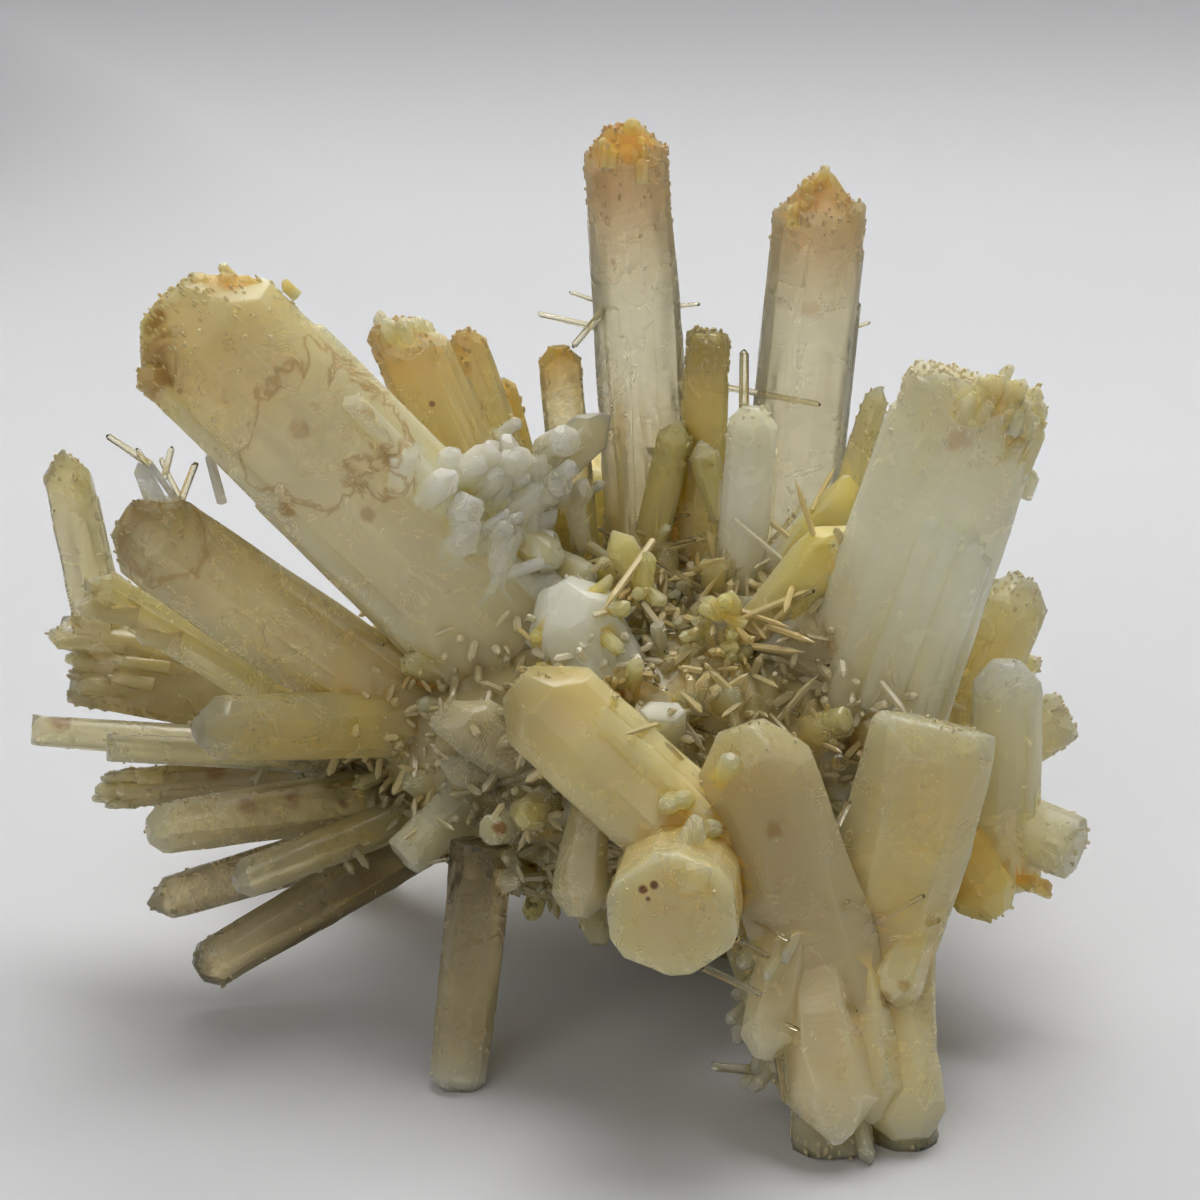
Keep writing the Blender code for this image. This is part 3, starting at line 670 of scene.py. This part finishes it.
def placedRows(surface):
    eye = shotPlace()
    rows, found = {}, {}
    for name, (ax, ay, bx, by, width, nearer, thick, look, end) in placed.items():
        rootRay, tipRay = photoRay(ax, ay), photoRay(bx, by)
        spot, normal, depth = meet(surface, rootRay)
        if spot is None:
            print("nothing behind", name)
            continue
        depth += width * thick * 0.5
        seat, tip = eye + rootRay * depth, eye + tipRay * (depth - nearer)
        along = tip - seat
        rows[name] = (seat - clusterShift, *headingRise(along), along.length, width, thick, 0, 0.6, end)
        found[name] = crowdLooks[look]
    return rows, found


def crowdRows(surface):
    draw = random.Random(seeds["crowds"])
    rows, found = {}, {}
    for name, (px, py, wide, high, count, widths, lengths, way, pull, differ, look) in crowds.items():
        for k in range(count):
            ray = photoRay(px + draw.gauss(0, 1) * wide, py + draw.gauss(0, 1) * high)
            spot, normal, depth = meet(surface, ray)
            change = Vector([draw.uniform(-1, 1) for axis in range(3)]) * differ
            width, length = draw.uniform(*widths), draw.uniform(*lengths)
            end = draw.choice(["point", "round", "leanLeft", "leanRight"])
            if spot is None:
                continue
            along = (way.normalized() * pull + normal * (1 - pull) + change).normalized()
            seat = spot / mm - clusterShift - along * (length * 0.45) - normal * width * 0.3
            heading = math.degrees(math.atan2(along.y, along.x))
            rise = math.degrees(math.asin(along.z))
            rows[f"{name} {k}"] = (seat, heading, rise, length, width, 0.9, 60 * draw.random(), 1, end)
            found[f"{name} {k}"] = crowdLooks[look]
    return rows, found


def coreMesh():
    bm = bmesh.new()
    bmesh.ops.create_icosphere(bm, subdivisions=4, radius=0.5)
    bmesh.ops.scale(bm, vec=core["size"], verts=bm.verts)
    lumps = Vector((7, 3, 1))
    for v in bm.verts:
        v.co *= 1 - 0.05 * abs(noise.noise(v.co * 0.3 + lumps))
    place = Matrix.Translation(core["centre"] + clusterShift)
    return stamp(bm, "core", ("olive straw straw", (0.1, 0.1, 0.1), 0, 0.3, 0), 1000, Vector(), lumps, place)


def plainMesh(item, name):
    bpy.context.view_layer.update()
    evaluated = item.evaluated_get(bpy.context.evaluated_depsgraph_get())
    mesh = bpy.data.meshes.new_from_object(evaluated)
    mesh.name = name
    return mesh


def linked(mesh, where=None):
    item = bpy.data.objects.new(mesh.name, mesh)
    (where or scene.collection).objects.link(item)
    return item


def belowFloorMesh():
    bm = bmesh.new()
    bmesh.ops.create_cube(bm, size=0.2)
    bmesh.ops.translate(bm, vec=(0, 0, -0.1), verts=bm.verts)
    mesh = bpy.data.meshes.new("belowFloor")
    bm.to_mesh(mesh)
    bm.free()
    return mesh


# points that the joining adds have no values yet: each takes the mean of the known points beside it
def fillAttributes(mesh):
    count = len(mesh.vertices)
    known = np.empty(count)
    mesh.attributes["known"].data.foreach_get("value", known)
    pairs = np.empty(len(mesh.edges) * 2, dtype=np.int64)
    mesh.edges.foreach_get("vertices", pairs)
    first, second = pairs[0::2], pairs[1::2]
    columns, sources = [], []
    for name, key, width in (("tint", "color", 4), ("grain", "vector", 3), ("axis", "vector", 3),
                             ("clear", "value", 1), ("crust", "value", 1), ("rust", "value", 1)):
        data = np.empty(count * width)
        mesh.attributes[name].data.foreach_get(key, data)
        columns.append(data.reshape(count, width))
        sources.append((name, key, width))
    table = np.hstack(columns)
    known = (known > 0.5).astype(float)
    for k in range(12):
        if known.all():
            break
        total, weight = np.zeros_like(table), np.zeros(count)
        for a, b in ((first, second), (second, first)):
            np.add.at(total, a, table[b] * known[b, None])
            np.add.at(weight, a, known[b])
        new = (known == 0) & (weight > 0)
        table[new] = total[new] / weight[new, None]
        known[new] = 1
    start = 0
    for name, key, width in sources:
        values = np.ascontiguousarray(table[:, start:start + width]).ravel()
        mesh.attributes[name].data.foreach_set(key, values)
        start += width
    mesh.attributes.remove(mesh.attributes["known"])


def joinCrystals():
    group = bpy.data.collections.new("grown crystals")
    scene.collection.children.link(group)
    draw = random.Random(seeds["looks"])
    cad = frame["nodes"]["quartz_cluster"].data
    cadSurface = treeOf(cad)
    crowded, crowdedLooks = crowdRows(cadSurface)
    single, singleLooks = placedRows(cadSurface)
    rows = {**crystals, **stubRows(), **fillerRows(), **crowded, **single}
    knownLooks = {**looks, **crowdedLooks, **singleLooks}
    for name, row in rows.items():
        small = name.startswith(("stub", "filler"))
        look = knownLooks.get(name, draw.choice(smallLooks) if small else plainLook)
        for mesh in crystalMeshes(name, row, look, draw):
            linked(mesh, group)
    body = linked(coreMesh())
    floor = linked(belowFloorMesh())
    for name, operation, operand in (("join", "UNION", group), ("floor", "DIFFERENCE", floor)):
        step = body.modifiers.new(name, "BOOLEAN")
        step.operation = operation
        step.solver = "MANIFOLD"
        if operand is group:
            step.operand_type = "COLLECTION"
            step.collection = group
        else:
            step.object = floor
    mesh = plainMesh(body, "quartzCrystals")
    for item in [body, floor, *group.objects]:
        bpy.data.objects.remove(item, do_unlink=True)
    bpy.data.collections.remove(group)
    fillAttributes(mesh)
    mesh.shade_smooth()
    mesh.set_sharp_from_angle(angle=math.radians(wear["sharpAngle"]))
    return mesh


# masks for the small growth: the roots between the crystals, and the hollow at the front
masks = {"drusyEdge": (1.32, 1.02), "pit": Vector((11, -3, 34)), "pitReach": (18, 9)}


def addMasks(mesh):
    count = len(mesh.vertices)
    points = np.empty(count * 3)
    mesh.vertices.foreach_get("co", points)
    points = points.reshape(count, 3) / mm - np.array(clusterShift)
    fromCore = np.linalg.norm((points - np.array(core["centre"])) / (np.array(core["size"]) / 2), axis=1)
    far, near = masks["drusyEdge"]
    druse = np.clip((far - fromCore) / (far - near), 0, 1)
    reach, inner = masks["pitReach"]
    pit = np.clip((reach - np.linalg.norm(points - np.array(masks["pit"]), axis=1)) / (reach - inner), 0, 1)
    for name, values in (("druse", druse), ("pit", pit)):
        mesh.attributes.new(name, "FLOAT", "POINT").data.foreach_set("value", values)


# what sprouts from the crystals: mask, places a square metre, shortest and longest, thinnest and
# thickest (metres), how far it follows its crystal's own length, how much it leans, and its seed
growths = {
    "tipCrust": ("crust", 2.8e6, (0.00025, 0.0007), (0.00018, 0.0004), 0.9, 0.2, 3),
    "rootDruse": ("druse", 0.30e6, (0.0012, 0.0032), (0.0004, 0.0009), 0.1, 0.8, 7),
    "pitNeedles": ("pit", 0.06e6, (0.004, 0.009), (0.0004, 0.0008), 0.0, 1.4, 19),
}
inputLabels = ["Mask", "Density", "Shortest", "Longest", "Thinnest", "Thickest", "Follow", "Lean", "Seed",
               "Stone"]
inputKinds = {"Mask": "NodeSocketString", "Seed": "NodeSocketInt", "Stone": "NodeSocketMaterial"}


def sproutTree():
    tree = bpy.data.node_groups.new("sprouts", "GeometryNodeTree")
    tree.interface.new_socket("Geometry", in_out="INPUT", socket_type="NodeSocketGeometry")
    for label in inputLabels:
        tree.interface.new_socket(label, in_out="INPUT", socket_type=inputKinds.get(label, "NodeSocketFloat"))
    tree.interface.new_socket("Geometry", in_out="OUTPUT", socket_type="NodeSocketGeometry")
    given = makeNode(tree, "NodeGroupInput").outputs
    link = tree.links.new

    mask = makeNode(tree, "GeometryNodeInputNamedAttribute", data_type="FLOAT")
    link(given["Mask"], mask.inputs["Name"])
    spread = makeNode(tree, "GeometryNodeDistributePointsOnFaces")
    link(given["Geometry"], spread.inputs["Mesh"])
    link(times(tree, mask.outputs["Attribute"], given["Density"]), spread.inputs["Density"])
    link(given["Seed"], spread.inputs["Seed"])

    # a six-sided rod from -0.3 to 0.7 of its length, whose top ring is drawn in to a point
    rod = makeNode(tree, "GeometryNodeMeshCylinder")
    for label, value in (("Vertices", 6), ("Side Segments", 2), ("Radius", 0.5), ("Depth", 1)):
        rod.inputs[label].default_value = value
    spot = makeNode(tree, "ShaderNodeSeparateXYZ")
    link(makeNode(tree, "GeometryNodeInputPosition").outputs[0], spot.inputs[0])
    isTop = mathNode(tree, "GREATER_THAN", spot.outputs["Z"], 0.25)
    isMiddle = mathNode(tree, "LESS_THAN", mathNode(tree, "ABSOLUTE", spot.outputs["Z"], 0), 0.25)
    narrow = minus(tree, 1, times(tree, isTop, 0.9))
    shaped = makeNode(tree, "ShaderNodeCombineXYZ")
    link(times(tree, spot.outputs["X"], narrow), shaped.inputs["X"])
    link(times(tree, spot.outputs["Y"], narrow), shaped.inputs["Y"])
    raised = plus(tree, spot.outputs["Z"], times(tree, isMiddle, 0.3))
    link(plus(tree, raised, 0.2), shaped.inputs["Z"])
    pointed = makeNode(tree, "GeometryNodeSetPosition")
    link(rod.outputs["Mesh"], pointed.inputs["Geometry"])
    link(shaped.outputs[0], pointed.inputs["Position"])

    ownAxis = makeNode(tree, "GeometryNodeInputNamedAttribute", data_type="FLOAT_VECTOR")
    ownAxis.inputs["Name"].default_value = "axis"
    toward = makeNode(tree, "ShaderNodeMix", data_type="VECTOR")
    link(given["Follow"], toward.inputs[0])
    link(spread.outputs["Normal"], toward.inputs[4])
    link(ownAxis.outputs["Attribute"], toward.inputs[5])
    anyWay = makeNode(tree, "FunctionNodeRandomValue", data_type="FLOAT_VECTOR")
    anyWay.inputs[0].default_value = (-1, -1, -1)
    anyWay.inputs[1].default_value = (1, 1, 1)
    link(given["Seed"], anyWay.inputs["Seed"])
    leaning = makeNode(tree, "ShaderNodeVectorMath", operation="SCALE")
    link(anyWay.outputs[0], leaning.inputs[0])
    link(given["Lean"], leaning.inputs["Scale"])
    way = makeNode(tree, "ShaderNodeVectorMath", operation="ADD")
    link(toward.outputs[1], way.inputs[0])
    link(leaning.outputs[0], way.inputs[1])
    turned = makeNode(tree, "FunctionNodeAlignRotationToVector", axis="Z")
    link(way.outputs[0], turned.inputs["Vector"])

    sizes = []
    for low, high, step in (("Thinnest", "Thickest", 1), ("Shortest", "Longest", 2)):
        size = makeNode(tree, "FunctionNodeRandomValue", data_type="FLOAT")
        link(given[low], size.inputs[2])
        link(given[high], size.inputs[3])
        link(plus(tree, given["Seed"], step), size.inputs["Seed"])
        sizes.append(size.outputs[1])
    scale = makeNode(tree, "ShaderNodeCombineXYZ")
    for socket, size in zip(scale.inputs, (sizes[0], sizes[0], sizes[1])):
        link(size, socket)

    planted = makeNode(tree, "GeometryNodeInstanceOnPoints")
    link(spread.outputs["Points"], planted.inputs["Points"])
    link(pointed.outputs[0], planted.inputs["Instance"])
    link(turned.outputs[0], planted.inputs["Rotation"])
    link(scale.outputs[0], planted.inputs["Scale"])
    real = makeNode(tree, "GeometryNodeRealizeInstances")
    link(planted.outputs[0], real.inputs[0])
    painted = makeNode(tree, "GeometryNodeSetMaterial")
    link(real.outputs[0], painted.inputs["Geometry"])
    link(given["Stone"], painted.inputs["Material"])
    link(painted.outputs[0], makeNode(tree, "NodeGroupOutput").inputs[0])
    return tree


def sprout(tree, source, name, material):
    mask, density, lengths, widths, follow, lean, seed = growths[name]
    values = [mask, density, *lengths, *widths, follow, lean, seed, material]
    item = linked(source)
    grow = item.modifiers.new("sprouts", "NODES")
    grow.node_group = tree
    for socket in tree.interface.items_tree:
        if socket.in_out == "INPUT" and socket.name in inputLabels:
            grow[socket.identifier] = values[inputLabels.index(socket.name)]
    mesh = plainMesh(item, name)
    bpy.data.objects.remove(item, do_unlink=True)
    mesh.materials.clear()
    mesh.materials.append(material)
    print(name, len(mesh.polygons), "faces")
    return linked(mesh)


def attributeNode(tree, name):
    return makeNode(tree, "ShaderNodeAttribute", attribute_name=name)


def rampNode(tree, source, low, high):
    made = makeNode(tree, "ShaderNodeMapRange", interpolation_type="SMOOTHSTEP")
    made.inputs["From Min"].default_value = low
    made.inputs["From Max"].default_value = high
    tree.links.new(source, made.inputs["Value"])
    return made.outputs["Result"]


def mathNode(tree, operation, first, second, clamp=False):
    made = makeNode(tree, "ShaderNodeMath", operation=operation, use_clamp=clamp)
    for socket, value in zip(made.inputs, (first, second)):
        if isinstance(value, (int, float)):
            socket.default_value = value
        else:
            tree.links.new(value, socket)
    return made.outputs["Value"]


def times(tree, first, second, clamp=False):
    return mathNode(tree, "MULTIPLY", first, second, clamp)


def plus(tree, first, second, clamp=False):
    return mathNode(tree, "ADD", first, second, clamp)


def minus(tree, first, second):
    return mathNode(tree, "SUBTRACT", first, second)


def larger(tree, first, second):
    return mathNode(tree, "MAXIMUM", first, second)


def colourMix(tree, factor, first, second):
    made = makeNode(tree, "ShaderNodeMix", data_type="RGBA")
    for socket, value in zip((made.inputs[0], made.inputs[6], made.inputs[7]), (factor, first, second)):
        if isinstance(value, tuple):
            socket.default_value = (*value, 1)
        elif isinstance(value, (int, float)):
            socket.default_value = value
        else:
            tree.links.new(value, socket)
    return made.outputs[2]


def noiseNode(tree, vector, scale, detail=3, distortion=0.0, roughness=0.5):
    made = makeNode(tree, "ShaderNodeTexNoise")
    made.inputs["Scale"].default_value = scale
    made.inputs["Detail"].default_value = detail
    made.inputs["Distortion"].default_value = distortion
    made.inputs["Roughness"].default_value = roughness
    tree.links.new(vector, made.inputs["Vector"])
    return made.outputs["Fac"]


# stains that the photograph shows: pixel, radius (mm), how thick a ring it is (0 is a filled spot),
# colour and strength
stains = {
    "horseshoe": (322, 432, 6.0, 0.9, "ochre", 0.55), "broad left a": (285, 510, 1.1, 0, "ochre", 0.6),
    "broad left b": (367, 515, 1.0, 0, "ochre", 0.5), "broad left c": (300, 430, 0.9, 0, "ochre", 0.4),
    "broad left side": (150, 370, 3.4, 0, "brown", 0.7),
    "broad left corner": (158, 318, 2.2, 0, "brown", 0.7),
    "second tip": (128, 508, 3.6, 0, "ochre", 0.6), "second ring": (160, 530, 3.6, 0.7, "ochre", 0.6),
    "slab spot": (775, 830, 1.0, 0, "ochre", 0.6), "hex spot a": (643, 890, 0.5, 0, "rust", 0.9),
    "hex spot b": (654, 885, 0.45, 0, "rust", 0.9), "hex spot c": (648, 899, 0.35, 0, "rust", 0.8),
    "foot stain a": (885, 1000, 0.9, 0, "ochre", 0.7), "foot stain b": (905, 986, 0.8, 0, "ochre", 0.7),
    "fan rust a": (250, 806, 1.2, 0, "rust", 0.6), "fan rust b": (292, 797, 1.4, 0, "rust", 0.6),
    "fan rust c": (344, 803, 0.7, 0, "rust", 0.7), "fan rust d": (215, 770, 1.3, 0, "rust", 0.6),
    "peg rust": (58, 719, 1.8, 0, "rust", 0.7), "knob rust a": (500, 829, 0.8, 0, "rust", 0.8),
    "knob rust b": (521, 838, 0.7, 0, "rust", 0.8), "tall left edge": (578, 215, 3.6, 0, "ochre", 0.55),
    "tall left seam": (613, 262, 0.7, 0, "rust", 0.5), "row red": (432, 404, 0.4, 0, "rust", 0.9),
    "clear one red": (583, 376, 0.5, 0, "rust", 0.9), "right top": (1010, 385, 3.0, 0, "ochre", 0.35),
    "right spot": (960, 440, 1.4, 0, "ochre", 0.3), "disc rust": (1050, 886, 0.9, 0, "rust", 0.4),
    "tall right patch": (805, 195, 2.6, 0, "ochre", 0.45), "tall right a": (812, 310, 1.2, 0, "ochre", 0.4),
}


def stainPlaces(surface):
    places = {}
    for name, (px, py, radius, ring, colour, strength) in stains.items():
        spot, normal, depth = meet(surface, photoRay(px, py))
        if spot:
            places[name] = (spot, radius * mm, ring * mm, colour, strength)
    return places


# the stone itself: pattern scales are in waves a metre
stone = {
    "cloud": 70, "mottle": 210, "fleck": 900, "veinWidth": 0.018,
    "pale": (0.94, 0.85, 0.58), "bump": (0.35, 0.00012), "stretch": (0.5, 0.5, 3.2),
    "ochre": (0.50, 0.31, 0.07), "rust": (0.26, 0.09, 0.02), "brown": (0.42, 0.22, 0.03),
    "roughness": 0.24, "ior": 1.544, "softDepth": 0.005, "softColours": (1.0, 1.0, 1.0),
    "absorbColour": (0.97, 0.83, 0.46), "absorb": 45,
}


# body crystals scatter light inside; small growth is too thin for that
def stoneMaterial(name, places, soft, bleach=0.0):
    material = bpy.data.materials.new(name)
    material.use_nodes = True
    tree = material.node_tree
    shader = tree.nodes["Principled BSDF"]
    place = makeNode(tree, "ShaderNodeTexCoord").outputs["Object"]
    tint = colourMix(tree, bleach, attributeNode(tree, "tint").outputs["Color"], palette["ice"])
    clear = attributeNode(tree, "clear").outputs["Fac"]
    rusty = attributeNode(tree, "rust").outputs["Fac"]
    crusted = attributeNode(tree, "crust").outputs["Fac"]
    grain = attributeNode(tree, "grain").outputs["Vector"]

    cloud = noiseNode(tree, place, stone["cloud"], detail=4, distortion=0.6)
    mottle = noiseNode(tree, place, stone["mottle"], detail=5, distortion=1.2, roughness=0.6)
    fleck = noiseNode(tree, place, stone["fleck"], detail=2)

    waver = minus(tree, mottle, 0.5)
    # ring stains: a thin line where the mottling crosses its middle value
    ring = mathNode(tree, "ABSOLUTE", minus(tree, mottle, 0.52), 0)
    ring = rampNode(tree, ring, stone["veinWidth"], 0.0)
    patch = rampNode(tree, mottle, 0.56, 0.70)
    where = rampNode(tree, cloud, 0.48, 0.66)
    stain = times(tree, larger(tree, times(tree, ring, 0.5), patch), where)
    stain = times(tree, stain, plus(tree, rusty, 0.15), clamp=True)
    spots = times(tree, rampNode(tree, fleck, 0.68, 0.74), rampNode(tree, mottle, 0.52, 0.62))
    spots = times(tree, spots, rusty, clamp=True)

    pale = colourMix(tree, rampNode(tree, cloud, 0.35, 0.7), tint, stone["pale"])
    base = colourMix(tree, 0.45, tint, pale)
    base = colourMix(tree, times(tree, stain, 0.75), base, stone["ochre"])
    base = colourMix(tree, spots, base, stone["rust"])
    for spot, radius, ring, colour, strength in places.values():      # a wavering edge from the mottling
        gap = makeNode(tree, "ShaderNodeVectorMath", operation="DISTANCE")
        tree.links.new(place, gap.inputs[0])
        gap.inputs[1].default_value = spot
        away = plus(tree, gap.outputs["Value"], times(tree, waver, radius * 2.6))
        if ring:
            away = mathNode(tree, "ABSOLUTE", minus(tree, away, radius), 0)
        mark = rampNode(tree, away, ring or radius, 0 if ring else radius * 0.45)
        base = colourMix(tree, times(tree, mark, strength), base, stone[colour])
    tree.links.new(base, shader.inputs["Base Color"])

    see = plus(tree, clear, times(tree, minus(tree, cloud, 0.5), 0.5))
    see = plus(tree, see, bleach * 0.4, clamp=True)
    see = times(tree, see, minus(tree, 1, larger(tree, stain, spots)))
    tree.links.new(see, shader.inputs["Transmission Weight"])

    dull = plus(tree, times(tree, mottle, 0.16), stone["roughness"] - 0.06 - bleach * 0.14)
    dull = plus(tree, dull, times(tree, larger(tree, stain, crusted), 0.12))
    tree.links.new(dull, shader.inputs["Roughness"])
    shader.inputs["IOR"].default_value = stone["ior"]
    shader.inputs["Subsurface Weight"].default_value = soft
    shader.inputs["Subsurface Radius"].default_value = stone["softColours"]
    shader.inputs["Subsurface Scale"].default_value = stone["softDepth"]

    squash = makeNode(tree, "ShaderNodeMapping")
    squash.inputs["Scale"].default_value = stone["stretch"]
    tree.links.new(grain, squash.inputs["Vector"])
    lines = noiseNode(tree, squash.outputs["Vector"], 1.0, detail=4, roughness=0.6)
    bump = makeNode(tree, "ShaderNodeBump")
    bump.inputs["Strength"].default_value, bump.inputs["Distance"].default_value = stone["bump"]
    height = plus(tree, lines, times(tree, mottle, 0.8))
    tree.links.new(height, bump.inputs["Height"])
    tree.links.new(bump.outputs["Normal"], shader.inputs["Normal"])

    soak = makeNode(tree, "ShaderNodeVolumeAbsorption")
    soak.inputs["Color"].default_value = (*stone["absorbColour"], 1)
    soak.inputs["Density"].default_value = stone["absorb"]
    tree.links.new(soak.outputs["Volume"], tree.nodes["Material Output"].inputs["Volume"])
    return material


# single needles, seen in the photograph: the pixels of both ends in its 1200 frame, the thickness
# in millimetres, and how far the far end stands off the crystals
needles = {
    "pit top": (586, 591, 678, 603, 0.9, 0.5), "pit middle": (593, 631, 678, 631, 0.7, 0.5),
    "pit upper": (618, 555, 696, 539, 0.6, 0.5), "row": (649, 450, 713, 465, 0.8, 0.5),
    "tall right foot": (751, 392, 821, 405, 0.7, 0.6), "pit right": (745, 705, 800, 715, 0.8, 0.5),
    "pit low": (692, 725, 727, 735, 0.9, 0.4), "pit low 2": (700, 700, 742, 690, 0.6, 0.5),
    "tall left side": (574, 322, 538, 314, 0.7, 0), "tall left amber": (604, 309, 572, 348, 0.8, 0),
    "tall left short": (578, 295, 569, 292, 0.5, 0),
    "under broad": (334, 622, 385, 645, 0.8, 0.6), "post top": (473, 796, 554, 762, 0.9, 0.8),
    "post top fork": (516, 786, 564, 810, 0.7, 0.8), "by the hex": (554, 830, 632, 830, 0.8, 0.6),
    "fan end": (409, 866, 450, 859, 0.5, 0.4), "bead stem": (870, 766, 840, 762, 0.6, 0.8),
    "right of slab": (820, 860, 850, 800, 0.6, 0.5), "foot left": (762, 1071, 711, 1066, 1.1, 0),
    "foot upright": (770, 1008, 788, 1105, 1.0, 0.6), "foot upper": (734, 938, 767, 956, 0.8, 0.5),
    "foot second": (730, 980, 762, 995, 0.8, 0.5), "foot shine": (836, 999, 858, 1012, 0.8, 0.5),
    "foot right": (888, 930, 940, 919, 1.0, 0.6), "left druse": (135, 454, 106, 435, 0.8, 0),
    "druse 2": (150, 470, 136, 448, 0.7, 0.3), "druse 3": (165, 475, 172, 446, 0.7, 0.3),
    "druse 4": (185, 490, 196, 462, 0.8, 0.3), "druse 5": (175, 488, 160, 458, 0.6, 0.3),
    "right edge": (690, 305, 700, 304, 0.5, 0),
    "tall right edge": (862, 325, 870, 322, 0.5, 0), "right wall": (700, 640, 740, 668, 0.6, 0.5),
    "pit a": (640, 600, 668, 655, 0.5, 0.5), "pit b": (756, 620, 815, 590, 0.6, 0.6),
    "pit c": (770, 545, 806, 500, 0.6, 0.6), "pit d": (612, 660, 668, 690, 0.5, 0.5),
    "pit e": (790, 560, 835, 545, 0.5, 0.5), "pit f": (640, 520, 690, 515, 0.5, 0.5),
    "pit g": (655, 560, 705, 590, 0.5, 0.5), "pit h": (780, 650, 830, 665, 0.5, 0.5),
    "foot a": (745, 915, 790, 940, 0.6, 0.5), "foot b": (800, 935, 850, 900, 0.6, 0.6),
    "row thin": (744, 408, 744, 349, 1.0, 0), "row small": (689, 500, 689, 431, 1.7, 0.4),
    "foot c": (870, 925, 925, 895, 0.6, 0.6), "foot d": (755, 1010, 800, 1030, 0.5, 0.5),
}


beads = {"bead stem": 0.75}      # the round bead at a needle's far end, in millimetres


def needleMeshes(surface):
    eye = shotPlace()
    draw = random.Random(seeds["needles"])
    made = []
    for name, (ax, ay, bx, by, thick, lift) in needles.items():
        span = math.hypot(ax - bx, ay - by)
        for back in range(0, 40, 4):      # a root beside the crystals goes back until it meets one
            px, py = ax + (ax - bx) / span * back, ay + (ay - by) / span * back
            rootRay = photoRay(px, py)
            spot, normal, rootDepth = meet(surface, rootRay)
            if spot:
                break
        else:
            print("no crystal behind needle", name)
            continue
        rootDepth += 0.5
        farRay = photoRay(bx, by)
        spot, normal, farDepth = meet(surface, farRay)
        farDepth = farDepth if spot else rootDepth
        farDepth = min(max(farDepth, rootDepth - 6), rootDepth + 6)
        root, tip = eye + rootRay * rootDepth, eye + farRay * (farDepth - lift)
        along = tip - root
        turned = along.to_track_quat("Z", "Y").to_matrix().to_4x4()
        end = draw.choice(["point", "leanLeft"])
        rod = softened(sixSided(along.length, thick, 0.9, 1, end, draw), thick * 0.06)
        offset = Vector([draw.uniform(-90, 90) for k in range(3)])
        place = Matrix.Translation(root) @ turned
        made.append(stamp(rod, name, needleLook, along.length, Vector(), offset, place))
        if name in beads:
            bead = bmesh.new()
            bmesh.ops.create_icosphere(bead, subdivisions=2, radius=beads[name])
            made.append(stamp(bead, name, needleLook, 1, Vector(), offset, Matrix.Translation(tip)))
    return made


def joined(meshes, name):
    bm = bmesh.new()
    for mesh in meshes:
        bm.from_mesh(mesh)
        bpy.data.meshes.remove(mesh)
    mesh = bpy.data.meshes.new(name)
    bm.to_mesh(mesh)
    bm.free()
    return mesh


# takes away each small crystal that would reach past the CAD model's box
def dropPast(mesh):
    bm = bmesh.new()
    bm.from_mesh(mesh)
    low, high = cadBox
    reached = [v for v in bm.verts if any(not low[k] <= v.co[k] <= high[k] for k in range(3))]
    gone = set()
    while reached:
        v = reached.pop()
        if v not in gone:
            gone.add(v)
            reached.extend(e.other_vert(v) for e in v.link_edges)
    bmesh.ops.delete(bm, geom=list(gone), context="VERTS")
    bm.to_mesh(mesh)
    bm.free()
    print(mesh.name, "points dropped past the box:", len(gone))


def finishPiece(item, *replaced):
    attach(item, "root")
    if replaced:
        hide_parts(*replaced)


makeCamera()
makeSweep()
makeLights()
setRender()
print("studio ready")
crystalBody = joinCrystals()
addMasks(crystalBody)
crystalBody.calc_loop_triangles()
print("crystals joined:", len(crystalBody.loop_triangles), "triangles")
surface = treeOf(crystalBody)
stoneLook = stoneMaterial("mango quartz", stainPlaces(surface), 1)
sugarLook = stoneMaterial("sugary quartz", {}, 0, 0.2)
needleStone = stoneMaterial("needle quartz", {}, 0, 0.8)
crystalBody.materials.clear()
crystalBody.materials.append(stoneLook)
crystalItem = linked(crystalBody)
sprouts = sproutTree()
for name in growths:
    item = sprout(sprouts, crystalBody, name, sugarLook)
    dropPast(item.data)
    finishPiece(item)
needleItem = linked(joined(needleMeshes(surface), "needles"))
needleItem.data.materials.append(needleStone)
finishPiece(needleItem)
finishPiece(crystalItem, "quartz_cluster")
